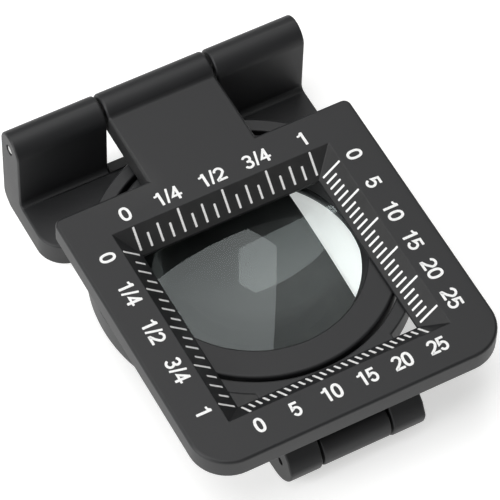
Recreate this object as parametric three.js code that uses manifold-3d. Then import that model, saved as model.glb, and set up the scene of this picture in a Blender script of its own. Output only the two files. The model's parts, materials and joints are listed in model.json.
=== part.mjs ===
// Folding hand lens of the linen-tester kind: a scale plate with a one inch window, an upright stand
// frame and a round lens holder, joined by two pinned hinges. It is modelled folded flat, the way it
// lies in a pocket: the lens holder is nested in the stand frame's ring and the scale plate covers both.
// Millimetres. X runs along both hinge pins, +Y goes from the front hinge to the rear one, +Z is up.
import * as THREE from 'three';
import { mergeVertices } from 'three/addons/utils/BufferGeometryUtils.js';
import Module from 'manifold-3d';

const wasm = await Module();
wasm.setup();

// ---- driving dimensions ------------------------------------------------------------------------
const GAP = 0.3; // free gap between two moving castings
const SEAT = 0.1; // free gap between a fixed piece and its seat
const ROUND = 96; // facets of a large circle

// Rear hinge, at the top of the stand's wall, and front hinge, between the stand's two arms.
const REAR = { y: 26.47, z: 12.97, radius: 2.47, pin: 0.75 };
const FRONT = { y: -26.04, z: 4.35, radius: 2.75, inner: 2.65, pin: 0.5 };

// Scale plate.
const WINDOW = 25.4;
const SCALE_ARM = 34.11; // rear pin to the middle of the window
const PLATE = { width: 42.6, front: 21.3, rear: 20.9, thick: 3.3, top: 14.1, land: 0.4 };
const PLATE_CORNER = { front: 5.2, rear: 1 };
const TONGUE_WIDTH = 15.6;
const PLATE_EDGE = 0.35;

// Stand frame.
const WALL_WIDTH = 41.94;
const FLOOR_THICK = 3.65;
const FLOOR_FRONT = 15.06;
const FLOOR_CORNER = 4;
const HEEL_RADIUS = 2;
const SLOT_FLOOR = 25.04; // how far back the floor reaches inside the tongue's slot
const RING = { outer: 21.15, inner: 19.25, relief: 19.7, top: 10.6, bottom: 7.0 };
const ARCH = { front: -30, rear: 13, corner: 5 };
const ARM = { inside: 5.05, outside: 9.65 };

// Lens holder: it is as long as it takes to bring the lens over the window when both are open.
const LENS_ARM = FRONT.z - (REAR.z - SCALE_ARM);
const LENS_Y = FRONT.y + LENS_ARM;
const WINDOW_Y = REAR.y - SCALE_ARM;
const HOLDER = { radius: 18.75, top: 10.6, bottom: 1.65, edge: 0.4 };
const NECK = { half: 4.75, top: 6.65 };
const MOUTH = { top: 14.65, lip: 14.0, lipTop: 8.2, lipBottom: 7.9, bore: 14.95 };

// Optics: one biconvex lens of 50 mm focal length under the mouth's lip, and a ring that holds it there.
const LENS = { radius: 14.8, curve: 51.7, edge: 2.9, top: 7.55 };
const RETAINER = { inner: 14.0, outer: 14.85, thick: 1.5, clear: 0.35 };

// ---- helpers -----------------------------------------------------------------------------------
function toManifold(geometry) {
  const bare = geometry.clone();
  bare.deleteAttribute('uv');
  bare.deleteAttribute('normal');
  const welded = mergeVertices(bare, 1e-5);
  const xyz = Float32Array.from(welded.attributes.position.array);
  const tri = Uint32Array.from(welded.index.array);
  if (signedVolume(xyz, tri) < 0) {
    for (let i = 0; i < tri.length; i += 3) {
      const keep = tri[i];
      tri[i] = tri[i + 1];
      tri[i + 1] = keep;
    }
  }
  return new wasm.Manifold(new wasm.Mesh({ numProp: 3, vertProperties: xyz, triVerts: tri }));
}

function signedVolume(xyz, tri) {
  const a = new THREE.Vector3();
  const b = new THREE.Vector3();
  const c = new THREE.Vector3();
  let sum = 0;
  for (let i = 0; i < tri.length; i += 3) {
    a.fromArray(xyz, tri[i] * 3);
    b.fromArray(xyz, tri[i + 1] * 3);
    c.fromArray(xyz, tri[i + 2] * 3);
    sum += a.dot(b.cross(c));
  }
  return sum / 6;
}

function toGeometry(solid) {
  const mesh = solid.getMesh();
  const geometry = new THREE.BufferGeometry();
  const xyz = new Float32Array(mesh.numVert * 3);
  for (let i = 0; i < mesh.numVert; i += 1) {
    xyz.set(mesh.vertProperties.subarray(i * mesh.numProp, i * mesh.numProp + 3), i * 3);
  }
  geometry.setAttribute('position', new THREE.BufferAttribute(xyz, 3));
  geometry.setIndex(new THREE.BufferAttribute(Uint32Array.from(mesh.triVerts), 1));
  geometry.computeVertexNormals();
  return geometry;
}

// An XY outline made into a slab from z0 to z1. A positive edge softens its upper and lower rims.
function slabZ(shape, z0, z1, edge = 0) {
  const geometry = new THREE.ExtrudeGeometry(shape, {
    depth: z1 - z0 - 2 * edge,
    bevelEnabled: edge > 0,
    bevelThickness: edge,
    bevelSize: edge,
    bevelOffset: -edge,
    bevelSegments: 2,
    curveSegments: 10,
  });
  geometry.translate(0, 0, z0 + edge);
  return toManifold(geometry);
}

// A YZ outline made into a slab from x0 to x1.
function slabX(shape, x0, x1) {
  const geometry = new THREE.ExtrudeGeometry(shape, { depth: x1 - x0, bevelEnabled: false, curveSegments: 20 });
  const toYZ = new THREE.Matrix4().makeBasis(
    new THREE.Vector3(0, 1, 0),
    new THREE.Vector3(0, 0, 1),
    new THREE.Vector3(1, 0, 0),
  );
  geometry.applyMatrix4(toYZ);
  geometry.translate(x0, 0, 0);
  return toManifold(geometry);
}

function barX(radius, y, z, x0, x1, facets = 48) {
  const geometry = new THREE.CylinderGeometry(radius, radius, x1 - x0, facets);
  geometry.rotateZ(Math.PI / 2);
  geometry.translate((x0 + x1) / 2, y, z);
  return toManifold(geometry);
}

function discZ(radius, z0, z1, radiusTop = radius) {
  const geometry = new THREE.CylinderGeometry(radiusTop, radius, z1 - z0, ROUND);
  geometry.rotateX(Math.PI / 2);
  geometry.translate(0, LENS_Y, (z0 + z1) / 2);
  return toManifold(geometry);
}

function box(x0, x1, y0, y1, z0, z1) {
  const geometry = new THREE.BoxGeometry(x1 - x0, y1 - y0, z1 - z0);
  geometry.translate((x0 + x1) / 2, (y0 + y1) / 2, (z0 + z1) / 2);
  return toManifold(geometry);
}

// A profile of [radius, height] points turned about the lens axis.
function turned(profile) {
  const geometry = new THREE.LatheGeometry(profile.map(([r, z]) => new THREE.Vector2(r, z)), 72);
  geometry.rotateX(Math.PI / 2);
  geometry.translate(0, LENS_Y, 0);
  return toManifold(geometry);
}

// A rectangle whose front (low v) and rear (high v) corners have their own radii.
function roundedRect(u0, u1, v0, v1, front, rear) {
  const shape = new THREE.Shape();
  shape.moveTo(u0 + front, v0);
  shape.lineTo(u1 - front, v0);
  shape.absarc(u1 - front, v0 + front, front, -Math.PI / 2, 0, false);
  shape.lineTo(u1, v1 - rear);
  shape.absarc(u1 - rear, v1 - rear, rear, 0, Math.PI / 2, false);
  shape.lineTo(u0 + rear, v1);
  shape.absarc(u0 + rear, v1 - rear, rear, Math.PI / 2, Math.PI, false);
  shape.lineTo(u0, v0 + front);
  shape.absarc(u0 + front, v0 + front, front, Math.PI, 1.5 * Math.PI, false);
  return shape;
}

// ---- scale plate -------------------------------------------------------------------------------
function scalePlate() {
  const half = PLATE.width / 2;
  const low = PLATE.top - PLATE.thick;
  const rearEdge = WINDOW_Y + PLATE.rear;
  const outline = roundedRect(-half, half, WINDOW_Y - PLATE.front, rearEdge, PLATE_CORNER.front, PLATE_CORNER.rear);
  const plate = slabZ(outline, low, PLATE.top, PLATE_EDGE);
  const tongueHalf = TONGUE_WIDTH / 2;
  const tongue = box(-tongueHalf, tongueHalf, rearEdge - 4, REAR.y, low, PLATE.top);
  const knuckle = barX(REAR.radius, REAR.y, REAR.z, -tongueHalf, tongueHalf);

  // The window is an inch square at its foot and opens upwards at 45 degrees above a short land.
  const foot = WINDOW / 2;
  const rise = PLATE.thick - PLATE.land;
  const window = box(-foot, foot, WINDOW_Y - foot, WINDOW_Y + foot, low - 1, PLATE.top);
  const flare = new THREE.CylinderGeometry((foot + rise + 1) * Math.SQRT2, foot * Math.SQRT2, rise + 1, 4);
  flare.rotateX(Math.PI / 2);
  flare.rotateZ(Math.PI / 4);
  flare.translate(0, WINDOW_Y, low + PLATE.land + (rise + 1) / 2);
  const bore = barX(REAR.pin + 0.05, REAR.y, REAR.z, -tongueHalf - 1, tongueHalf + 1, 32);
  return plate.add(tongue).add(knuckle).subtract(window).subtract(toManifold(flare)).subtract(bore);
}

// ---- stand frame -------------------------------------------------------------------------------
// Side view of the wall and floor: an L with a round hinge barrel on top and a rounded heel.
function wallProfile() {
  const rear = REAR.y + REAR.radius;
  const front = REAR.y - REAR.radius;
  const shape = new THREE.Shape();
  shape.moveTo(FLOOR_FRONT, 0);
  shape.lineTo(rear - HEEL_RADIUS, 0);
  shape.absarc(rear - HEEL_RADIUS, HEEL_RADIUS, HEEL_RADIUS, -Math.PI / 2, 0, false);
  shape.lineTo(rear, REAR.z);
  shape.absarc(REAR.y, REAR.z, REAR.radius, 0, Math.PI, false);
  shape.lineTo(front, FLOOR_THICK + 0.8);
  shape.absarc(front - 0.8, FLOOR_THICK + 0.8, 0.8, 0, -Math.PI / 2, true);
  shape.lineTo(FLOOR_FRONT, FLOOR_THICK);
  shape.closePath();
  return shape;
}

// Side view of an arm: it drops from the ring to the knuckle and stands on a rounded foot.
function armProfile() {
  const foot = { y: FRONT.y - FRONT.radius + 4.5, z: 4.7, radius: 4.5 };
  const shape = new THREE.Shape();
  shape.moveTo(-16, RING.top);
  shape.lineTo(-22.8, RING.top);
  shape.lineTo(FRONT.y - 1.76, FRONT.z + 2.11);
  shape.lineTo(foot.y - foot.radius, foot.z);
  shape.absarc(foot.y, foot.z, foot.radius, Math.PI, 1.5 * Math.PI, false);
  shape.lineTo(-21.6, 0);
  shape.lineTo(-20.6, 0);
  shape.lineTo(-18.5, 4);
  shape.lineTo(-16, RING.bottom);
  shape.closePath();
  return shape;
}

function standFrame() {
  const half = WALL_WIDTH / 2;
  const outline = roundedRect(-half, half, FLOOR_FRONT, REAR.y + 4, FLOOR_CORNER, 1);
  const wall = slabX(wallProfile(), -half, half).intersect(slabZ(outline, -1, 20));

  const arch = roundedRect(ARCH.front, ARCH.rear, -12, RING.bottom, 1, ARCH.corner);
  let frame = discZ(RING.outer, 0, RING.top).subtract(slabX(arch, -30, 30)).add(wall);
  for (const side of [-1, 1]) {
    const x0 = Math.min(side * ARM.inside, side * ARM.outside);
    const x1 = Math.max(side * ARM.inside, side * ARM.outside);
    frame = frame.add(slabX(armProfile(), x0, x1)).add(barX(FRONT.radius, FRONT.y, FRONT.z, x0, x1));
  }

  // The round bore takes the folded lens holder, and its lower part is relieved for the swing.
  frame = frame.subtract(discZ(RING.inner, -1, 20)).subtract(discZ(RING.relief, -1, RING.bottom));

  // The slot takes the scale plate's tongue, folded and open.
  const slot = TONGUE_WIDTH / 2 + GAP;
  frame = frame.subtract(box(-slot, slot, REAR.y - 3.2, REAR.y + 4, FLOOR_THICK, 20));
  frame = frame.subtract(box(-slot, slot, SLOT_FLOOR, REAR.y + 4, -1, 20));

  const rearBore = barX(REAR.pin + 0.05, REAR.y, REAR.z, -30, 30, 32);
  const frontBore = barX(FRONT.pin + 0.05, FRONT.y, FRONT.z, -30, 30, 32);
  return frame.subtract(rearBore).subtract(frontBore);
}

// ---- lens holder and lens --------------------------------------------------------------------
function lensHolder() {
  const { radius, top, bottom, edge } = HOLDER;
  const ring = turned([
    [0, bottom],
    [radius - edge, bottom],
    [radius, bottom + edge],
    [radius, top - edge],
    [radius - edge, top],
    [0, top],
  ]);
  const neck = box(-NECK.half, NECK.half, FRONT.y, LENS_Y - 17, bottom, NECK.top);
  const knuckle = barX(FRONT.inner, FRONT.y, FRONT.z, -NECK.half, NECK.half);
  const mouth = turned([
    [0, bottom - 1],
    [MOUTH.bore, bottom - 1],
    [MOUTH.bore, MOUTH.lipBottom],
    [MOUTH.lip, MOUTH.lipBottom],
    [MOUTH.lip, MOUTH.lipTop],
    [MOUTH.top, top],
    [MOUTH.top, top + 1],
    [0, top + 1],
  ]);
  const bore = barX(FRONT.pin + 0.05, FRONT.y, FRONT.z, -NECK.half - 1, NECK.half + 1, 32);
  return ring.add(neck).add(knuckle).subtract(mouth).subtract(bore);
}

// Height of a lens's dome above its rim, at a distance r from the lens axis.
function dome(r) {
  return Math.sqrt(LENS.curve ** 2 - r ** 2) - Math.sqrt(LENS.curve ** 2 - LENS.radius ** 2);
}

// Equal domes above and below a straight rim.
function biconvex(rimTop) {
  const rimBottom = rimTop - LENS.edge;
  const steps = 12;
  const upper = [];
  const lower = [];
  for (let i = 0; i <= steps; i += 1) {
    const r = (LENS.radius * i) / steps;
    upper.push([r, rimTop + dome(r)]);
    lower.push([r, rimBottom - dome(r)]);
  }
  return turned([...lower, ...upper.reverse()]);
}

function tube(inner, outer, z0, z1) {
  return discZ(outer, z0, z1).subtract(discZ(inner, z0 - 1, z1 + 1));
}

const retainerTop = LENS.top - LENS.edge - RETAINER.clear;

// ---- pins --------------------------------------------------------------------------------------
const rearPinHalf = WALL_WIDTH / 2 - 0.1;
const frontPinHalf = ARM.outside - 0.5;

// ---- assembly ----------------------------------------------------------------------------------
const satinBlack = { color: 0x2c2d2f, roughness: 0.62, metalness: 0.25, flatShading: true };
const steel = { color: 0xb9bbbd, roughness: 0.3, metalness: 1 };
const glass = { color: 0xdfe9ea, roughness: 0.03, metalness: 0, transparent: true, opacity: 0.35 };

const pieces = [
  ['scale_plate', scalePlate(), satinBlack],
  ['stand_frame', standFrame(), satinBlack],
  ['lens_holder', lensHolder(), satinBlack],
  ['lens', biconvex(LENS.top), glass],
  [
    'lens_retainer',
    tube(RETAINER.inner, RETAINER.outer, retainerTop - RETAINER.thick, retainerTop),
    satinBlack,
  ],
  ['rear_hinge_pin', barX(REAR.pin, REAR.y, REAR.z, -rearPinHalf, rearPinHalf, 32), steel],
  ['front_hinge_pin', barX(FRONT.pin, FRONT.y, FRONT.z, -frontPinHalf, frontPinHalf, 32), steel],
];

const group = new THREE.Group();
group.name = 'hand_lens';
for (const [name, solid, look] of pieces) {
  const mesh = new THREE.Mesh(toGeometry(solid), new THREE.MeshStandardMaterial(look));
  mesh.name = name;
  group.add(mesh);
}

export default group;
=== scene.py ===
"""Looks of the folding hand lens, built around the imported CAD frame.

Shapes are worked out in millimetres and written in metres, in the frame of the CAD part: X along the
hinge pins, +Y from the front hinge to the rear one, +Z up.
"""
import json
import math

import bmesh
import bpy
from mathutils import Matrix, Vector


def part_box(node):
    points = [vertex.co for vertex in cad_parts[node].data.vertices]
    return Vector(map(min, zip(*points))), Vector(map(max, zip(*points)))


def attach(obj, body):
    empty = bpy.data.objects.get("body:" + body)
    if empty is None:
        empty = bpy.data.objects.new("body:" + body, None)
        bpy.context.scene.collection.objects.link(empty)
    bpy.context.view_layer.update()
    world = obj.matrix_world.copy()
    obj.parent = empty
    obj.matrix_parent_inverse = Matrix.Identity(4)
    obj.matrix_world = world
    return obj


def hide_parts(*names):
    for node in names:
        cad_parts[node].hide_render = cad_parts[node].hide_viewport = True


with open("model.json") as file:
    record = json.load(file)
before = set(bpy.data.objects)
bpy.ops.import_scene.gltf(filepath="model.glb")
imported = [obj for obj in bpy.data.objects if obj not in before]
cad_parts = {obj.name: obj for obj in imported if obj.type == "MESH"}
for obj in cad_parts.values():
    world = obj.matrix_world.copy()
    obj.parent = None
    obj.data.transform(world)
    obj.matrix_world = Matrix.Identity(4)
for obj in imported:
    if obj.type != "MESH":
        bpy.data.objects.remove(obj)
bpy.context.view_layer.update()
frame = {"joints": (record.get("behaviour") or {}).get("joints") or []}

MM = 0.001

# ---- places taken from the frame ---------------------------------------------------------------
JOINTS = {joint["name"]: joint for joint in frame["joints"]}


def hinge_axis(name):
    place = [value / MM for value in JOINTS[name]["pos_m"]]
    return place[1], place[2]


def node_box(name):
    low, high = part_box(name)
    return low / MM, high / MM


REAR_Y, REAR_Z = hinge_axis("scale_hinge")
FRONT_Y, FRONT_Z = hinge_axis("lens_hinge")
PLATE_LOW, PLATE_HIGH = node_box("scale_plate")
STAND_HIGH = node_box("stand_frame")[1]
HOLDER_LOW, HOLDER_HIGH = node_box("lens_holder")

# ---- sizes, mm ---------------------------------------------------------------------------------
# A HALF is half a width along X, and a SIDES the number of flats that a round shape is made of.
GAP = 0.3
BARREL = PLATE_HIGH.z - REAR_Z
REAR_PIN = 0.75
FRONT_PIN = 0.5
PIN_PLAY = 0.05

WINDOW = 25.4
WINDOW_REACH = 34.11  # from the rear pin forward to the middle of the window
WINDOW_BACK = 20.9  # from the middle of the window back to the plate's rear edge
WINDOW_Y = REAR_Y - WINDOW_REACH
WINDOW_MARGIN = 3.5  # the flare and its edges lie within this of the window's foot
WINDOW_ROUND = 0.09
PLATE_HALF = PLATE_HIGH.x
PLATE_FRONT = PLATE_LOW.y
PLATE_REAR = WINDOW_Y + WINDOW_BACK
PLATE_ROUND = 0.42
PLATE_TOP = 14.1
PLATE_BOTTOM = 10.8
WINDOW_LAND = 0.4
PLATE_CORNER_FRONT = 5.2
PLATE_CORNER_REAR = 1.0
TONGUE_HALF = 7.8
TONGUE_ROOT = 4

HOLDER_RADIUS = 18.75
WALL_HALF = 20.97
WALL_REAR = STAND_HIGH.y
WALL_FILLET = 0.8
FLOOR_THICK = 3.65
FLOOR_FRONT = 15.06
FLOOR_CORNER = 4.0
HEEL = 2.0
SLOT_FRONT = 3.2  # ahead of the rear pin
SLOT_FLOOR = 25.04
STAND_ROUND = 0.28
LENS_Y = HOLDER_HIGH.y - HOLDER_RADIUS
RING_OUTER = 21.15
RING_INNER = 19.25
RING_RELIEF = 19.7
RING_TOP = 10.6
RING_BOTTOM = 7.0
ARCH_REAR = 13.0
ARCH_CORNER = 5.0
ARCH_LOW = -12.0  # well under the table, so that only the arch's upper corner cuts
ARM_INSIDE = 5.05
ARM_OUTSIDE = 9.65
ARM_ROOT = -16.0
ARM_SHOULDER = -22.8
ARM_NOSE = (1.76, 2.11)  # ahead of the front pin and above it
ARM_SOLE = (-21.6, -20.6)
ARM_HOCK = (-18.5, 4.0)
KNUCKLE = 2.75
FOOT_RADIUS = 4.5
FOOT_Z = 4.7
SPINE_HALF = 10.1
SPINE_FRONT = -21.2
SPINE_REAR = 21.0
SPINE_THICK = 1.35
SPINE_LIFT = 0.04  # its underside stands this far above the stand's, which it runs into
SPINE_ROUND = 0.2

HOLDER_ROUND = 0.4
HOLDER_TOP = HOLDER_HIGH.z
HOLDER_BOTTOM = HOLDER_LOW.z
NECK_HALF = 4.75
NECK_TOP = 6.65
NECK_KNUCKLE = 2.65
NECK_ROUND = 0.25
NECK_END = 17.0  # ahead of the lens axis, inside the holder's wall
NECK_BLEND = 1.5
MOUTH_ROUND = 0.3
MOUTH_TOP = 14.65
MOUTH_LIP = 14.0
LIP_TOP = 8.2
LIP_BOTTOM = 7.9
MOUTH_BORE = 14.95

LENS_RADIUS = 14.8
LENS_CURVE = 51.7
LENS_CHAMFER = 0.12
RETAINER_INNER = 14.0
RETAINER_OUTER = 14.85
RETAINER_CHAMFER = 0.2

# Cutters reach past the casting that they cut.
BELOW = -1
ABOVE = 20
BESIDE = 30

RING_SIDES = 144
LENS_SIDES = 192
BARREL_SIDES = 72
BORE_SIDES = 32
PIN_SIDES = 40

# Edges that turn by less than this, in degrees, are not rounded.
SHARP_EDGE = 28
BORE_MARGIN = 0.2
EDGE_MARGIN = 0.3

# ---- mesh helpers ------------------------------------------------------------------------------


def from_bmesh(name, bm):
    bmesh.ops.recalc_face_normals(bm, faces=bm.faces)
    mesh = bpy.data.meshes.new(name)
    bm.to_mesh(mesh)
    bm.free()
    obj = bpy.data.objects.new(name, mesh)
    bpy.context.scene.collection.objects.link(obj)
    return obj


def arc(cx, cy, radius, start, end, steps):
    """Points of an arc, with its angles in degrees."""
    points = []
    for i in range(steps + 1):
        angle = math.radians(start + (end - start) * i / steps)
        points.append((cx + radius * math.cos(angle), cy + radius * math.sin(angle)))
    return points


def rounded_rect(u0, u1, v0, v1, front, rear, steps=12):
    return (
        arc(u1 - front, v0 + front, front, -90, 0, steps)
        + arc(u1 - rear, v1 - rear, rear, 0, 90, steps)
        + arc(u0 + rear, v1 - rear, rear, 90, 180, steps)
        + arc(u0 + front, v0 + front, front, 180, 270, steps)
    )


def circle(cx, cy, radius, sides):
    return arc(cx, cy, radius, 0, 360, sides)[:-1]


def prism(outline, low, high, axis):
    """A closed outline made solid: along Z from an XY outline, or along X from a YZ outline."""
    def place(u, v, w):
        return (u, v, w) if axis == "Z" else (w, u, v)

    bm = bmesh.new()
    clean = []
    for point in outline:
        if not clean or math.dist(point, clean[-1]) > 1e-5:
            clean.append(point)
    if math.dist(clean[0], clean[-1]) < 1e-5:
        clean.pop()
    lower = [bm.verts.new(place(u, v, low)) for u, v in clean]
    upper = [bm.verts.new(place(u, v, high)) for u, v in clean]
    bm.faces.new(lower)
    bm.faces.new(upper)
    for i in range(len(clean)):
        bm.faces.new((lower[i - 1], lower[i], upper[i], upper[i - 1]))
    return from_bmesh("tool", bm)


def block(x0, x1, y0, y1, z0, z1):
    return prism([(x0, y0), (x1, y0), (x1, y1), (x0, y1)], z0, z1, "Z")


def rod(radius, y, z, x0, x1, sides):
    return prism(circle(y, z, radius, sides), x0, x1, "X")


def spun(profile, sides):
    """A closed profile of (radius, height) turned about the lens axis."""
    bm = bmesh.new()
    rings = []
    for radius, height in profile:
        if radius < 1e-6:
            rings.append([bm.verts.new((0, LENS_Y, height))])
        else:
            rings.append([
                bm.verts.new((x, y, height)) for x, y in circle(0, LENS_Y, radius, sides)
            ])
    for i, ring in enumerate(rings):
        other = rings[i - 1]
        if len(ring) == 1 and len(other) == 1:
            continue
        for k in range(sides):
            if len(ring) == 1:
                bm.faces.new((other[k - 1], other[k], ring[0]))
            elif len(other) == 1:
                bm.faces.new((ring[k - 1], ring[k], other[0]))
            else:
                bm.faces.new((other[k - 1], other[k], ring[k], ring[k - 1]))
    return from_bmesh("tool", bm)


def baked(obj):
    """Puts the result of the modifiers into the mesh."""
    graph = bpy.context.evaluated_depsgraph_get()
    graph.update()
    mesh = bpy.data.meshes.new_from_object(obj.evaluated_get(graph))
    obj.modifiers.clear()
    obj.data = mesh
    return obj


def carve(obj, operation, tools):
    for tool in tools:
        cut = obj.modifiers.new("cut", "BOOLEAN")
        cut.operation = operation
        cut.solver = "EXACT"
        cut.object = tool
    baked(obj)
    for tool in tools:
        bpy.data.objects.remove(tool)
    return obj


def in_pin_bore(p, y, z, pin):
    return math.hypot(p.y - y, p.z - z) < pin + BORE_MARGIN


def soften(obj, width, wanted, segments):
    """Rounds the sharp edges whose middle is wanted."""
    bm = bmesh.new()
    bm.from_mesh(obj.data)
    bmesh.ops.remove_doubles(bm, verts=bm.verts, dist=1e-3)
    bmesh.ops.dissolve_degenerate(bm, dist=1e-3, edges=bm.edges)
    bmesh.ops.dissolve_limit(
        bm, angle_limit=math.radians(0.4), verts=bm.verts, edges=bm.edges, delimit={"NORMAL"}
    )
    chosen = []
    for edge in bm.edges:
        if len(edge.link_faces) != 2 or edge.calc_face_angle() < math.radians(SHARP_EDGE):
            continue
        if wanted((edge.verts[0].co + edge.verts[1].co) / 2):
            chosen.append(edge)
    bmesh.ops.bevel(
        bm,
        geom=chosen,
        offset=width,
        offset_type="OFFSET",
        segments=segments,
        profile=0.5,
        affect="EDGES",
        clamp_overlap=False,
        loop_slide=True,
    )
    bm.to_mesh(obj.data)
    bm.free()
    return obj


def finished(obj, name, body, material, replaced=(), sharp=38):
    """Names a piece, scales it to metres, smooths its shading and hands it to the frame."""
    obj.name = name
    obj.data.name = name
    obj.data.transform(Matrix.Scale(MM, 4))
    obj.data.shade_smooth()
    obj.data.set_sharp_from_angle(angle=math.radians(sharp))
    weigh = obj.modifiers.new("weigh", "WEIGHTED_NORMAL")
    weigh.keep_sharp = True
    weigh.weight = 80
    baked(obj)
    obj.data.materials.clear()
    obj.data.materials.append(material)
    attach(obj, body)
    if replaced:
        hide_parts(*replaced)
    return obj


# ---- materials ---------------------------------------------------------------------------------
class Nodes:
    """Short names for the nodes of one material."""

    def __init__(self, name):
        self.material = bpy.data.materials.new(name)
        self.material.use_nodes = True
        self.tree = self.material.node_tree
        self.tree.nodes.clear()
        self.output = self.add("ShaderNodeOutputMaterial")
        self.place = self.add("ShaderNodeTexCoord").outputs["Object"]

    def add(self, kind, **values):
        node = self.tree.nodes.new(kind)
        for key, value in values.items():
            setattr(node, key, value)
        return node

    def link(self, source, target):
        self.tree.links.new(source, target)

    def noise(self, size_mm, detail=2.0, roughness=0.5):
        node = self.add("ShaderNodeTexNoise")
        node.inputs["Scale"].default_value = 1 / (size_mm * MM)
        node.inputs["Detail"].default_value = detail
        node.inputs["Roughness"].default_value = roughness
        self.link(self.place, node.inputs["Vector"])
        return node.outputs["Fac"]

    def ramp(self, source, stops):
        node = self.add("ShaderNodeValToRGB")
        ramp = node.color_ramp
        for i, (position, colour) in enumerate(stops):
            element = ramp.elements[i] if i < 2 else ramp.elements.new(position)
            element.position = position
            element.color = (*colour, 1)
        self.link(source, node.inputs["Fac"])
        return node.outputs["Color"]

    def span(self, source, low, high):
        node = self.add("ShaderNodeMapRange")
        node.inputs["To Min"].default_value = low
        node.inputs["To Max"].default_value = high
        self.link(source, node.inputs["Value"])
        return node.outputs["Result"]

    def maths(self, operation, a, b):
        node = self.add("ShaderNodeMath", operation=operation)
        for socket, value in zip(node.inputs, (a, b)):
            if isinstance(value, (int, float)):
                socket.default_value = value
            else:
                self.link(value, socket)
        return node.outputs["Value"]

    def mix(self, factor, a, b):
        node = self.add("ShaderNodeMix", data_type="RGBA")
        self.link(factor, node.inputs["Factor"])
        for socket, value in ((node.inputs[6], a), (node.inputs[7], b)):
            if isinstance(value, tuple):
                socket.default_value = (*value, 1)
            else:
                self.link(value, socket)
        return node.outputs[2]

    def bump(self, height, strength, distance_mm, before=None):
        node = self.add("ShaderNodeBump")
        node.inputs["Strength"].default_value = strength
        node.inputs["Distance"].default_value = distance_mm * MM
        self.link(height, node.inputs["Height"])
        if before is not None:
            self.link(before, node.inputs["Normal"])
        return node.outputs["Normal"]

    def principled(self, **values):
        node = self.add("ShaderNodeBsdfPrincipled")
        for key, value in values.items():
            socket = node.inputs[key.replace("_", " ")]
            if hasattr(value, "links") or isinstance(value, bpy.types.NodeSocket):
                self.link(value, socket)
            else:
                socket.default_value = value
        return node.outputs["BSDF"]

    def close(self, shader):
        self.link(shader, self.output.inputs["Surface"])
        return self.material


def satin_casting():
    """Black satin enamel on a casting: fine grain, soft orange peel and paler rubbed edges."""
    n = Nodes("black_satin_enamel")
    grain = n.noise(0.16, 3, 0.6)
    peel = n.noise(1.1, 2)
    cloud = n.noise(9, 3)
    colour = n.ramp(cloud, [(0.3, (0.0085, 0.0088, 0.0098)), (0.7, (0.0120, 0.0123, 0.0134))])
    edge = n.add("ShaderNodeNewGeometry").outputs["Pointiness"]
    rubbed = n.ramp(edge, [(0.535, (0, 0, 0)), (0.62, (1, 1, 1))])
    patchy = n.maths("MULTIPLY", rubbed, n.span(n.noise(1.6, 3), 0.1, 0.75))
    colour = n.mix(patchy, colour, (0.035, 0.035, 0.034))
    rough = n.maths("ADD", n.span(cloud, 0.46, 0.56), n.span(grain, -0.05, 0.05))
    normal = n.bump(grain, 0.22, 0.02, n.bump(peel, 0.12, 0.05))
    return n.close(n.principled(Base_Color=colour, Roughness=rough, Normal=normal))


def anodised():
    """Matte black anodising with a fine grain."""
    n = Nodes("black_anodised")
    grain = n.noise(0.1, 2)
    cloud = n.noise(4, 3)
    colour = n.ramp(cloud, [(0.3, (0.012, 0.012, 0.013)), (0.7, (0.020, 0.020, 0.021))])
    rough = n.span(grain, 0.38, 0.6)
    normal = n.bump(grain, 0.2, 0.01)
    return n.close(n.principled(Base_Color=colour, Roughness=rough, Normal=normal))


def white_ink():
    """Screen printed white ink with tiny pinholes and an uneven film."""
    n = Nodes("white_ink")
    film = n.noise(0.25, 3)
    colour = n.ramp(film, [(0.25, (0.84, 0.84, 0.83)), (0.6, (0.95, 0.95, 0.94))])
    rough = n.span(film, 0.5, 0.7)
    normal = n.bump(film, 0.15, 0.01)
    return n.close(n.principled(Base_Color=colour, Roughness=rough, Normal=normal))


def steel():
    """Bright drawn steel, a little cloudy."""
    n = Nodes("pin_steel")
    grain = n.noise(0.12, 3)
    cloud = n.noise(0.7, 2)
    colour = n.ramp(cloud, [(0.3, (0.50, 0.50, 0.49)), (0.7, (0.66, 0.66, 0.65))])
    rough = n.span(grain, 0.2, 0.38)
    normal = n.bump(grain, 0.15, 0.01)
    return n.close(n.principled(Base_Color=colour, Metallic=1.0, Roughness=rough, Normal=normal))


def lens_glass():
    """Clear crown glass. Lamps shine through it, and faint dust dulls it a little."""
    n = Nodes("lens_glass")
    dust = n.ramp(n.noise(0.5, 6, 0.7), [(0.62, (0, 0, 0)), (0.80, (1, 1, 1))])
    rough = n.span(dust, 0.0, 0.05)
    glass = n.principled(
        Base_Color=(0.93, 0.975, 0.965, 1),
        Roughness=rough,
        IOR=1.52,
        Transmission_Weight=1.0,
        Specular_IOR_Level=0.5,
        Specular_Tint=(0.70, 0.76, 0.76, 1),
    )
    clear = n.add("ShaderNodeBsdfTransparent")
    clear.inputs["Color"].default_value = (0.90, 0.92, 0.91, 1)
    switch = n.add("ShaderNodeMixShader")
    n.link(n.add("ShaderNodeLightPath").outputs["Is Shadow Ray"], switch.inputs[0])
    n.link(glass, switch.inputs[1])
    n.link(clear.outputs["BSDF"], switch.inputs[2])
    return n.close(switch.outputs["Shader"])


CASTING = satin_casting()
ANODISED = anodised()
INK = white_ink()
STEEL = steel()
GLASS = lens_glass()

# ---- scale plate -------------------------------------------------------------------------------


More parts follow.
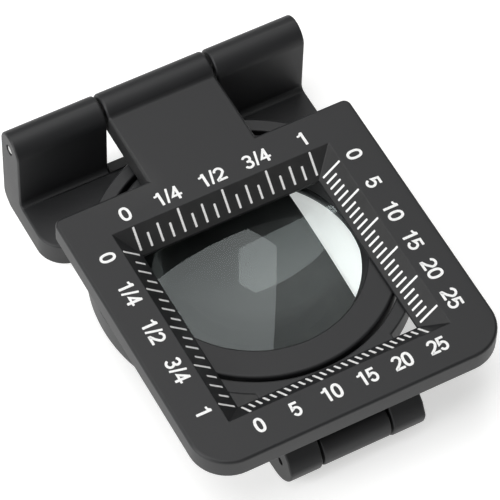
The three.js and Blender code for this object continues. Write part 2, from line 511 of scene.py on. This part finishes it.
def scale_plate():
    outline = rounded_rect(
        -PLATE_HALF, PLATE_HALF, PLATE_FRONT, PLATE_REAR, PLATE_CORNER_FRONT, PLATE_CORNER_REAR
    )
    plate = prism(outline, PLATE_BOTTOM, PLATE_TOP, "Z")
    root = PLATE_REAR - TONGUE_ROOT
    tongue = block(-TONGUE_HALF, TONGUE_HALF, root, REAR_Y, PLATE_BOTTOM, PLATE_TOP)
    barrel = rod(BARREL, REAR_Y, REAR_Z, -TONGUE_HALF, TONGUE_HALF, BARREL_SIDES)
    carve(plate, "UNION", [tongue, barrel])
    foot = WINDOW / 2
    window = block(-foot, foot, WINDOW_Y - foot, WINDOW_Y + foot, PLATE_BOTTOM - 1, PLATE_TOP + 1)
    flare = pyramid(foot, PLATE_BOTTOM + WINDOW_LAND, PLATE_TOP + 1)
    bore = rod(REAR_PIN + PIN_PLAY, REAR_Y, REAR_Z, -TONGUE_HALF - 1, TONGUE_HALF + 1, BORE_SIDES)
    carve(plate, "DIFFERENCE", [window, flare, bore])

    def window_edge(p):
        return max(abs(p.x), abs(p.y - WINDOW_Y)) < foot + WINDOW_MARGIN

    def rim(p):
        return not window_edge(p) and not in_pin_bore(p, REAR_Y, REAR_Z, REAR_PIN)

    soften(plate, WINDOW_ROUND, window_edge, 2)
    soften(plate, PLATE_ROUND, rim, 4)
    return finished(plate, "scale_plate_body", "scale", CASTING, ["scale_plate"])


def pyramid(foot, z0, z1):
    """The square flare of the window: it widens by as much as it rises."""
    bm = bmesh.new()
    rings = []
    for half, z in ((foot, z0), (foot + z1 - z0, z1)):
        corners = ((-half, -half), (half, -half), (half, half), (-half, half))
        rings.append([bm.verts.new((x, WINDOW_Y + y, z)) for x, y in corners])
    lower, upper = rings
    bm.faces.new(lower)
    bm.faces.new(upper)
    for i in range(4):
        bm.faces.new((lower[i - 1], lower[i], upper[i], upper[i - 1]))
    return from_bmesh("tool", bm)


# ---- stand frame -------------------------------------------------------------------------------


def wall_profile():
    """YZ outline of the wall and the floor ahead of it."""
    front = REAR_Y - BARREL
    fillet = arc(front - WALL_FILLET, FLOOR_THICK + WALL_FILLET, WALL_FILLET, -90, 0, 6)
    return (
        [(FLOOR_FRONT, 0)]
        + arc(WALL_REAR - HEEL, HEEL, HEEL, -90, 0, 8)
        + arc(REAR_Y, REAR_Z, BARREL, 0, 180, 32)
        + fillet[::-1]
        + [(FLOOR_FRONT, FLOOR_THICK)]
    )


def arm_profile():
    """YZ outline of one arm of the front hinge."""
    foot_y = FRONT_Y - KNUCKLE + FOOT_RADIUS
    nose = (FRONT_Y - ARM_NOSE[0], FRONT_Z + ARM_NOSE[1])
    return (
        [(ARM_ROOT, RING_TOP), (ARM_SHOULDER, RING_TOP), nose]
        + arc(foot_y, FOOT_Z, FOOT_RADIUS, 180, 270, 12)
        + [(ARM_SOLE[0], 0), (ARM_SOLE[1], 0), ARM_HOCK, (ARM_ROOT, RING_BOTTOM)]
    )


# The floor's root, where the ring runs into it, and the ring's underside between the arms keep
# their edges sharp.
ROOT_HALF = 15.6
ROOT_FRONT = 11
ROOT_REAR = 20.5
UNDER_ARMS_HALF = 11.5
UNDER_ARMS_REAR = -12
SOLE_MARGIN = 0.05


def stand_edge(p):
    """Whether an edge of the stand, with its middle at p, is rounded."""
    low = p.z < RING_BOTTOM + EDGE_MARGIN
    root = abs(p.x) < ROOT_HALF and ROOT_FRONT < p.y < ROOT_REAR and low
    bore = math.hypot(p.x, p.y - LENS_Y) < RING_RELIEF + BORE_MARGIN and low
    near_ring = abs(p.z - RING_BOTTOM) < EDGE_MARGIN
    under_arms = abs(p.x) < UNDER_ARMS_HALF and p.y < UNDER_ARMS_REAR and near_ring
    pins = in_pin_bore(p, REAR_Y, REAR_Z, REAR_PIN) or in_pin_bore(p, FRONT_Y, FRONT_Z, FRONT_PIN)
    return not (pins or root or bore or under_arms or p.z < SOLE_MARGIN)


def stand_frame():
    footprint = rounded_rect(-WALL_HALF, WALL_HALF, FLOOR_FRONT, WALL_REAR + 2, FLOOR_CORNER, 1)
    wall = prism(wall_profile(), -WALL_HALF, WALL_HALF, "X")
    carve(wall, "INTERSECT", [prism(footprint, BELOW, ABOVE, "Z")])
    stand = spun([(0, 0), (RING_OUTER, 0), (RING_OUTER, RING_TOP), (0, RING_TOP)], RING_SIDES)
    arch = rounded_rect(-BESIDE, ARCH_REAR, ARCH_LOW, RING_BOTTOM, 1, ARCH_CORNER)
    carve(stand, "DIFFERENCE", [prism(arch, -BESIDE, BESIDE, "X")])
    arms = []
    for side in (-1, 1):
        x0, x1 = sorted((side * ARM_INSIDE, side * ARM_OUTSIDE))
        arms.append(prism(arm_profile(), x0, x1, "X"))
    carve(stand, "UNION", [wall] + arms)

    slot = TONGUE_HALF + GAP
    far = REAR_Y + 4
    stepped_bore = [
        (0, BELOW),
        (RING_RELIEF, BELOW),
        (RING_RELIEF, RING_BOTTOM),
        (RING_INNER, RING_BOTTOM),
        (RING_INNER, ABOVE),
        (0, ABOVE),
    ]
    carve(stand, "DIFFERENCE", [
        spun(stepped_bore, RING_SIDES),
        block(-slot, slot, REAR_Y - SLOT_FRONT, far, FLOOR_THICK, ABOVE),
        block(-slot, slot, SLOT_FLOOR, far, BELOW, ABOVE),
        rod(REAR_PIN + PIN_PLAY, REAR_Y, REAR_Z, -BESIDE, BESIDE, BORE_SIDES),
        rod(FRONT_PIN + PIN_PLAY, FRONT_Y, FRONT_Z, -BESIDE, BESIDE, BORE_SIDES),
    ])
    soften(stand, STAND_ROUND, stand_edge, 3)
    return finished(stand, "stand_frame_body", "stand", CASTING, ["stand_frame"])


def stand_spine():
    """The thin flat plate under the lens, from the stand's floor to its two arms."""
    spine = block(-SPINE_HALF, SPINE_HALF, SPINE_FRONT, SPINE_REAR, SPINE_LIFT, SPINE_THICK)
    soften(spine, SPINE_ROUND, lambda p: True, 3)
    return finished(spine, "stand_spine", "stand", CASTING)


# ---- lens holder and lens ----------------------------------------------------------------------


def lens_holder():
    rim = HOLDER_RADIUS - HOLDER_ROUND
    ring = spun(
        [(0, HOLDER_BOTTOM)]
        + arc(rim, HOLDER_BOTTOM + HOLDER_ROUND, HOLDER_ROUND, -90, 0, 5)
        + arc(rim, HOLDER_TOP - HOLDER_ROUND, HOLDER_ROUND, 0, 90, 5)
        + [(0, HOLDER_TOP)],
        RING_SIDES,
    )
    neck = block(-NECK_HALF, NECK_HALF, FRONT_Y, LENS_Y - NECK_END, HOLDER_BOTTOM, NECK_TOP)
    knuckle = rod(NECK_KNUCKLE, FRONT_Y, FRONT_Z, -NECK_HALF, NECK_HALF, BARREL_SIDES)
    carve(ring, "UNION", [neck, knuckle])
    mouth_edge = MOUTH_TOP + MOUTH_ROUND
    mouth = spun(
        [
            (0, HOLDER_BOTTOM - 1),
            (MOUTH_BORE, HOLDER_BOTTOM - 1),
            (MOUTH_BORE, LIP_BOTTOM),
            (MOUTH_LIP, LIP_BOTTOM),
            (MOUTH_LIP, LIP_TOP),
        ]
        + arc(mouth_edge, HOLDER_TOP - MOUTH_ROUND, MOUTH_ROUND, 170, 90, 5)
        + [(mouth_edge, HOLDER_TOP + 1), (0, HOLDER_TOP + 1)],
        RING_SIDES,
    )
    bore = rod(FRONT_PIN + PIN_PLAY, FRONT_Y, FRONT_Z, -NECK_HALF - 1, NECK_HALF + 1, BORE_SIDES)
    carve(ring, "DIFFERENCE", [mouth, bore])

    def neck_edge(p):
        ahead = p.y < LENS_Y - HOLDER_RADIUS + NECK_BLEND
        return ahead and not in_pin_bore(p, FRONT_Y, FRONT_Z, FRONT_PIN)

    soften(ring, NECK_ROUND, neck_edge, 3)
    return finished(ring, "lens_holder_body", "lens_mount", CASTING, ["lens_holder"])


def dome(radius):
    """Height of a lens face above its rim, at a distance from the axis."""
    return math.sqrt(LENS_CURVE**2 - radius**2) - math.sqrt(LENS_CURVE**2 - LENS_RADIUS**2)


def lens():
    """A biconvex lens with a chamfered rim."""
    low, high = node_box("lens")
    crown = dome(0)
    rim_low = low.z + crown
    rim_high = high.z - crown
    steps = 36
    lower = []
    upper = []
    for i in range(steps + 1):
        radius = (LENS_RADIUS - LENS_CHAMFER) * i / steps
        rise = dome(radius)
        lower.append((radius, rim_low - rise))
        upper.append((radius, rim_high + rise))
    rim = [(LENS_RADIUS, rim_low + LENS_CHAMFER), (LENS_RADIUS, rim_high - LENS_CHAMFER)]
    glass = spun(lower + rim + upper[::-1], LENS_SIDES)
    return finished(glass, "lens_glass", "lens_mount", GLASS, ["lens"], 25)


def lens_retainer():
    low, high = node_box("lens_retainer")
    inner, outer, chamfer = RETAINER_INNER, RETAINER_OUTER, RETAINER_CHAMFER
    profile = [
        (inner, low.z + chamfer),
        (inner + chamfer, low.z),
        (outer - chamfer, low.z),
        (outer, low.z + chamfer),
        (outer, high.z - chamfer),
        (outer - chamfer, high.z),
        (inner + chamfer, high.z),
        (inner, high.z - chamfer),
    ]
    ring = spun(profile, RING_SIDES)
    name, node = "lens_retainer_ring", "lens_retainer"
    return finished(ring, name, "lens_mount", ANODISED, [node])


def pin(name, node, radius, dimple):
    """A hinge pin with lightly crowned, centre-punched ends."""
    low, high = node_box(node)
    middle = (low + high) / 2
    half = high.x
    crown = radius * 0.25
    drops = ((0.0, dimple), (0.3, dimple * 0.3), (0.5, 0.0), (0.8, crown * 0.2), (1.0, crown))
    profile = [(radius * share, half - drop) for share, drop in drops]
    bm = bmesh.new()
    rings = []
    for r, x in profile + [(r, -x) for r, x in reversed(profile)]:
        if r < 1e-6:
            rings.append([bm.verts.new((x, middle.y, middle.z))])
        else:
            around = circle(middle.y, middle.z, r, PIN_SIDES)
            rings.append([bm.verts.new((x, y, z)) for y, z in around])
    for a, b in zip(rings, rings[1:]):
        for k in range(PIN_SIDES):
            if len(a) == 1:
                bm.faces.new((a[0], b[k - 1], b[k]))
            elif len(b) == 1:
                bm.faces.new((a[k - 1], a[k], b[0]))
            else:
                bm.faces.new((a[k - 1], a[k], b[k], b[k - 1]))
    return finished(from_bmesh("tool", bm), name, "stand", STEEL, [node])


# ---- printed scales ----------------------------------------------------------------------------
INK_FILM = 0.03
INK_SINK = 0.012
INK_STEP = 0.004  # strokes that cross lie this far one above the other
FIGURE_STROKE = 0.37
FIGURE_HALF = 1.05
FLAG_STROKE = 0.29
SLASH_STROKE = 0.31
SLASH_SLANT = 0.26
CURVED_STROKE = FIGURE_STROKE * 0.93
OVAL_POWER = 0.86
OVAL_POINTS = 40


def glyph_paths(figure, width):
    """Centre lines of a figure, about its middle, as (points, closed, stroke).

    w and h are half the width and half the height of the centre lines. The numbers beside them
    are the drawing of the figures itself.
    """
    w = width / 2 - FIGURE_STROKE / 2
    h = FIGURE_HALF - FIGURE_STROKE / 2 + 0.03
    s = FIGURE_STROKE
    if figure == "0":
        loop = []
        for i in range(OVAL_POINTS):
            a = 2 * math.pi * i / OVAL_POINTS
            c, d = math.cos(a), math.sin(a)
            x = math.copysign(abs(c) ** OVAL_POWER, c) * w
            y = math.copysign(abs(d) ** OVAL_POWER, d) * h
            loop.append((x, y))
        return [(loop, True, s)]
    if figure == "1":
        stem = [(w, -FIGURE_HALF), (w, FIGURE_HALF)]
        tip = (w - 0.06, FIGURE_HALF - 0.06)
        flag = [(-width / 2, 0.56), (-0.16, 0.58), (0.0, 0.66), (0.10, 0.80), tip]
        return [(stem, False, s), (flag, False, FLAG_STROKE)]
    if figure == "2":
        bowl = arc(0, h - w, w, 172, -20, 16)
        tail = [(w * 0.66, -0.02), (w * 0.1, -0.34), (-w * 0.62, -0.60)]
        base = [(-w * 0.98, -h + 0.16), (-w * 0.98, -h + 0.03), (width / 2, -h + 0.03)]
        return [(bowl + tail + base, False, CURVED_STROKE)]
    if figure == "3":
        upper_r = 0.47 * h
        lower_r = h - upper_r
        bend = arc(0, h - upper_r, upper_r, 160, -90, 18)
        upper = [(x * w * 0.92 / upper_r, y) for x, y in bend]
        upper.append((-0.16, upper[-1][1]))
        lower = [(x * w / lower_r, y) for x, y in arc(0, -h + lower_r, lower_r, 90, -165, 18)]
        lower.insert(0, (-0.16, lower[0][1]))
        return [(upper, False, CURVED_STROKE), (lower, False, CURVED_STROKE)]
    if figure == "4":
        stem_x = w * 0.42
        bar_y = -0.38
        diagonal = [(width / 2, bar_y), (-w * 0.95, bar_y), (stem_x - 0.02, FIGURE_HALF - 0.16)]
        stem = [(stem_x, -FIGURE_HALF), (stem_x, FIGURE_HALF)]
        return [(stem, False, s), (diagonal, False, s * 0.85)]
    if figure == "5":
        bowl_r = 0.56
        bowl = [(x * w / bowl_r, y) for x, y in arc(0, -h + bowl_r, bowl_r, 120, -160, 20)]
        left = -w * 0.80
        top = [(w * 0.98, h - 0.03), (left, h - 0.03), (left - 0.08, 0.02)]
        return [(top + [(-w * 0.6, 0.10)] + bowl[1:], False, CURVED_STROKE)]
    slash = [(-SLASH_SLANT, -FIGURE_HALF), (SLASH_SLANT, FIGURE_HALF + 0.09)]
    return [(slash, False, SLASH_STROKE)]


MITRE_LIMIT = 0.18
STROKE_LIP = 0.07
STROKE_END = 0.72


def offset_path(points, half, closed):
    """Left and right sides of a stroke, mitred at its corners."""
    sides = []
    count = len(points)
    for i, (x, y) in enumerate(points):
        before = points[i - 1] if closed or i > 0 else None
        after = points[(i + 1) % count] if closed or i < count - 1 else None
        normals = []
        for a, b in ((before, (x, y)), ((x, y), after)):
            if a is None or b is None:
                continue
            length = math.dist(a, b)
            normals.append((-(b[1] - a[1]) / length, (b[0] - a[0]) / length))
        nx = sum(n[0] for n in normals) / len(normals)
        ny = sum(n[1] for n in normals) / len(normals)
        size = max(nx * nx + ny * ny, MITRE_LIMIT)
        dx, dy = nx / size * half, ny / size * half
        sides.append(((x + dx, y + dy), (x - dx, y - dy)))
    return sides


def eased(points, half):
    """Adds a short narrower lip at both ends of an open stroke, so that its corners are soft."""
    widths = [half] * len(points)
    points = list(points)
    for end in (0, -1):
        x, y = points[end]
        nx, ny = points[1] if end == 0 else points[-2]
        length = math.dist((x, y), (nx, ny))
        share = STROKE_LIP / length
        near = (x + (nx - x) * share, y + (ny - y) * share)
        if end == 0:
            points.insert(1, near)
            widths.insert(0, half * STROKE_END)
        else:
            points.insert(len(points) - 1, near)
            widths.append(half * STROKE_END)
    return points, widths


def ink_stroke(bm, points, closed, stroke, place, lift=0.0):
    """One printed stroke as a closed film. place turns (u, v, height) into a point."""
    half = stroke / 2
    if closed:
        widths = [half] * len(points)
    else:
        points, widths = eased(points, half)
    sides = offset_path(points, 1.0, closed)
    top = INK_FILM + lift
    rows = []
    for (x, y), (left, right), w in zip(points, sides, widths):
        corners = []
        for (sx, sy), z in ((left, -INK_SINK), (right, -INK_SINK), (right, top), (left, top)):
            corners.append(bm.verts.new(place(x + (sx - x) * w, y + (sy - y) * w, z)))
        rows.append(corners)
    pairs = list(zip(rows, rows[1:])) + ([(rows[-1], rows[0])] if closed else [])
    for a, b in pairs:
        for k in range(4):
            bm.faces.new((a[k - 1], a[k], b[k], b[k - 1]))
    if not closed:
        bm.faces.new(rows[0])
        bm.faces.new(rows[-1])


FIGURE_WIDTH = {"0": 1.48, "1": 0.88, "2": 1.46, "3": 1.40, "4": 1.52, "5": 1.44, "/": 0.86}
SPACE_AFTER = {"1": 0.36, "3": 0.10, "/": -0.05}


def text_layout(text, squeeze, gap):
    """Middles of the figures of a text, with its own middle at nought."""
    x = 0.0
    places = []
    for i, figure in enumerate(text):
        width = FIGURE_WIDTH[figure] * (squeeze if figure in "025" else 1)
        if i:
            before = text[i - 1]
            x += SPACE_AFTER.get(before, 0) + (0 if "/" in (figure, before) else gap)
        places.append((figure, x + width / 2, width))
        x += width
    return [(figure, middle - x / 2, width) for figure, middle, width in places]


def printed(name, marks, texts):
    """One printed piece, made of scale lines or of figures."""
    bm = bmesh.new()
    for points, stroke, place in marks:
        ink_stroke(bm, points, False, stroke, place)
    for text, centre, read, up, squeeze, gap in texts:
        def place(u, v, z, centre=centre, read=read, up=up):
            spot = Vector(centre) + Vector(read) * u + Vector(up) * v
            return (spot.x, spot.y, PLATE_TOP + z)

        for figure, middle, width in text_layout(text, squeeze, gap):
            for order, (points, closed, stroke) in enumerate(glyph_paths(figure, width)):
                moved = [(x + middle, y) for x, y in points]
                ink_stroke(bm, moved, closed, stroke, place, INK_STEP * order)
    return finished(from_bmesh(name, bm), name, "scale", INK, (), 30)


TICK_START = 0.5
TICK_LONG = 2.8
TICK_MIDDLE = 2.30
TICK_SHORT = 1.86
TICK_STROKE = 0.30
SIDES = {
    # side: (outward direction, direction in which the scale counts)
    "rear": ((0, 1), (1, 0)),
    "left": ((-1, 0), (0, -1)),
    "right": ((1, 0), (0, -1)),
    "front": ((0, -1), (1, 0)),
}


def bevel_place(side, along):
    """Places a stroke on the window's sloping face: u along the edge, v outwards and up it."""
    (ox, oy), (cx, cy) = SIDES[side]
    foot = WINDOW / 2
    z0 = PLATE_BOTTOM + WINDOW_LAND
    root = math.sqrt(0.5)

    def place(u, v, height):
        out = foot + v - height * root
        return (
            cx * (along + u) + ox * out,
            WINDOW_Y + cy * (along + u) + oy * out,
            z0 + v + height * root,
        )

    return place


def ruler(side, length, divisions, long_every, middle_every, short_reach=TICK_SHORT):
    """The lines of one scale: a long one every so many divisions, a middling one between."""
    marks = []
    for i in range(divisions + 1):
        along = length * (i / divisions - 0.5)
        reach = short_reach
        if i % long_every == 0:
            reach = TICK_LONG
        elif middle_every and i % middle_every == 0:
            reach = TICK_MIDDLE
        marks.append(([(0, TICK_START), (0, reach)], TICK_STROKE, bevel_place(side, along)))
    return marks


FIGURE_OUT = {"rear": 17.65, "left": 17.70, "right": 17.65, "front": 17.75}
FRACTION_SHIFT = -0.20
ONE_SHIFT = 0.12


def figures(side, texts, length, squeeze, gap):
    """The figures of one scale, spread evenly along it, each set outside its own line."""
    (ox, oy), (cx, cy) = SIDES[side]
    upright = (0, 1) if side in ("rear", "front") else (1, 0)
    rows = []
    for i, text in enumerate(texts):
        along = length * (i / (len(texts) - 1) - 0.5)
        if "/" in text:
            along += FRACTION_SHIFT
        elif text.startswith("1"):
            along += ONE_SHIFT
        out = FIGURE_OUT[side]
        centre = (cx * along + ox * out, WINDOW_Y + cy * along + oy * out, 0)
        rows.append((text, centre, (cx, cy, 0), (*upright, 0), squeeze, gap))
    return rows


INCH_TEXTS = ("0", "1/4", "1/2", "3/4", "1")
METRIC_TEXTS = ("0", "5", "10", "15", "20", "25")
METRIC_SCALE = 25.0


def print_scales():
    lines = ruler("rear", WINDOW, 16, 4, 2)
    lines += ruler("left", WINDOW, 16, 4, 2)
    printed("inch_graduations", lines, [])
    lines = ruler("right", METRIC_SCALE, 25, 5, 0)
    lines += ruler("front", METRIC_SCALE, 25, 5, 0, TICK_SHORT + 0.15)
    printed("millimetre_graduations", lines, [])
    texts = figures("rear", INCH_TEXTS, WINDOW, 1.0, 0.08)
    texts += figures("left", INCH_TEXTS, WINDOW, 0.97, 0.08)
    printed("inch_figures", [], texts)
    texts = figures("right", METRIC_TEXTS, METRIC_SCALE, 1.0, 0.12)
    texts += figures("front", METRIC_TEXTS, METRIC_SCALE, 0.91, 0.04)
    printed("millimetre_figures", [], texts)


scale_plate()
stand_frame()
stand_spine()
lens_holder()
lens()
lens_retainer()
pin("rear_pin", "rear_hinge_pin", REAR_PIN, 0.12)
pin("front_pin", "front_hinge_pin", FRONT_PIN, 0.08)
print_scales()

# ---- studio ------------------------------------------------------------------------------------
# A broad seven-sided softbox hangs a metre above the table and sends its light straight down.
SOFTBOX_HEIGHT = 1000
SOFTBOX_OUTLINE = (
    (-650, 735),
    (462, 891),
    (517, 650),
    (516, 622),
    (150, 10),
    (-60, -340),
    (-650, -340),
)
SOFTBOX_GLOW = 2.9
FLOOR_HALF = 900
FLOOR_DROP = 0.02
FLOOR_GLOW = 0.52
WORLD_GLOW = 0.22
SIDE_LAMP_PLACE = (-0.85, -0.05, 0.42)
SIDE_LAMP_SIZE = 0.5
SIDE_LAMP_POWER = 5


def floor_material():
    n = Nodes("pale_floor")
    colour = n.ramp(n.noise(30, 3), [(0.3, (0.74, 0.74, 0.74)), (0.7, (0.77, 0.77, 0.77))])
    paper = n.principled(
        Base_Color=colour,
        Roughness=0.8,
        Emission_Color=(1.0, 1.0, 0.99, 1),
        Emission_Strength=FLOOR_GLOW,
    )
    return n.close(paper)


def softbox_material():
    n = Nodes("softbox_glow")
    node = n.add("ShaderNodeEmission")
    node.inputs["Color"].default_value = (1.0, 1.0, 1.0, 1)
    node.inputs["Strength"].default_value = SOFTBOX_GLOW
    return n.close(node.outputs["Emission"])


def flat_panel(name, corners, z, material):
    bm = bmesh.new()
    bm.faces.new([bm.verts.new((x, y, z)) for x, y in corners])
    obj = from_bmesh(name, bm)
    obj.data.transform(Matrix.Scale(MM, 4))
    obj.data.materials.append(material)


def side_lamp():
    data = bpy.data.lights.new("side_lamp", "AREA")
    data.size = SIDE_LAMP_SIZE
    data.energy = SIDE_LAMP_POWER
    lamp = bpy.data.objects.new("side_lamp", data)
    lamp.location = SIDE_LAMP_PLACE
    lamp.rotation_euler = (-Vector(SIDE_LAMP_PLACE)).to_track_quat("-Z", "Y").to_euler()
    bpy.context.scene.collection.objects.link(lamp)


def studio():
    bpy.context.scene.view_settings.view_transform = "Standard"
    half = FLOOR_HALF
    corners = [(-half, -half), (half, -half), (half, half), (-half, half)]
    flat_panel("studio_floor", corners, -FLOOR_DROP, floor_material())
    flat_panel("softbox", SOFTBOX_OUTLINE, SOFTBOX_HEIGHT, softbox_material())
    world = bpy.data.worlds.new("studio")
    bpy.context.scene.world = world
    world.use_nodes = True
    back = world.node_tree.nodes["Background"]
    back.inputs["Color"].default_value = (1.0, 1.0, 1.0, 1)
    back.inputs["Strength"].default_value = WORLD_GLOW
    side_lamp()


# ---- camera ------------------------------------------------------------------------------------
CAMERA_PLACE = (-0.12995, -0.22324, 0.38574)
CAMERA_RIGHT = (0.88004183, -0.47436751, 0.02240187)
CAMERA_UP = (0.37975275, 0.7312708, 0.56659586)
CAMERA_BACK = (-0.2851565, -0.49012088, 0.82369126)
CAMERA_SENSOR = 36
CAMERA_LENS = 258.55


def camera():
    data = bpy.data.cameras.new("camera")
    data.sensor_width = CAMERA_SENSOR
    data.lens = CAMERA_LENS
    data.clip_start = 0.01
    data.clip_end = 20
    obj = bpy.data.objects.new("camera", data)
    turn = Matrix((CAMERA_RIGHT, CAMERA_UP, CAMERA_BACK)).transposed().to_4x4()
    obj.matrix_world = Matrix.Translation(CAMERA_PLACE) @ turn
    bpy.context.scene.collection.objects.link(obj)
    bpy.context.scene.camera = obj


studio()
camera()
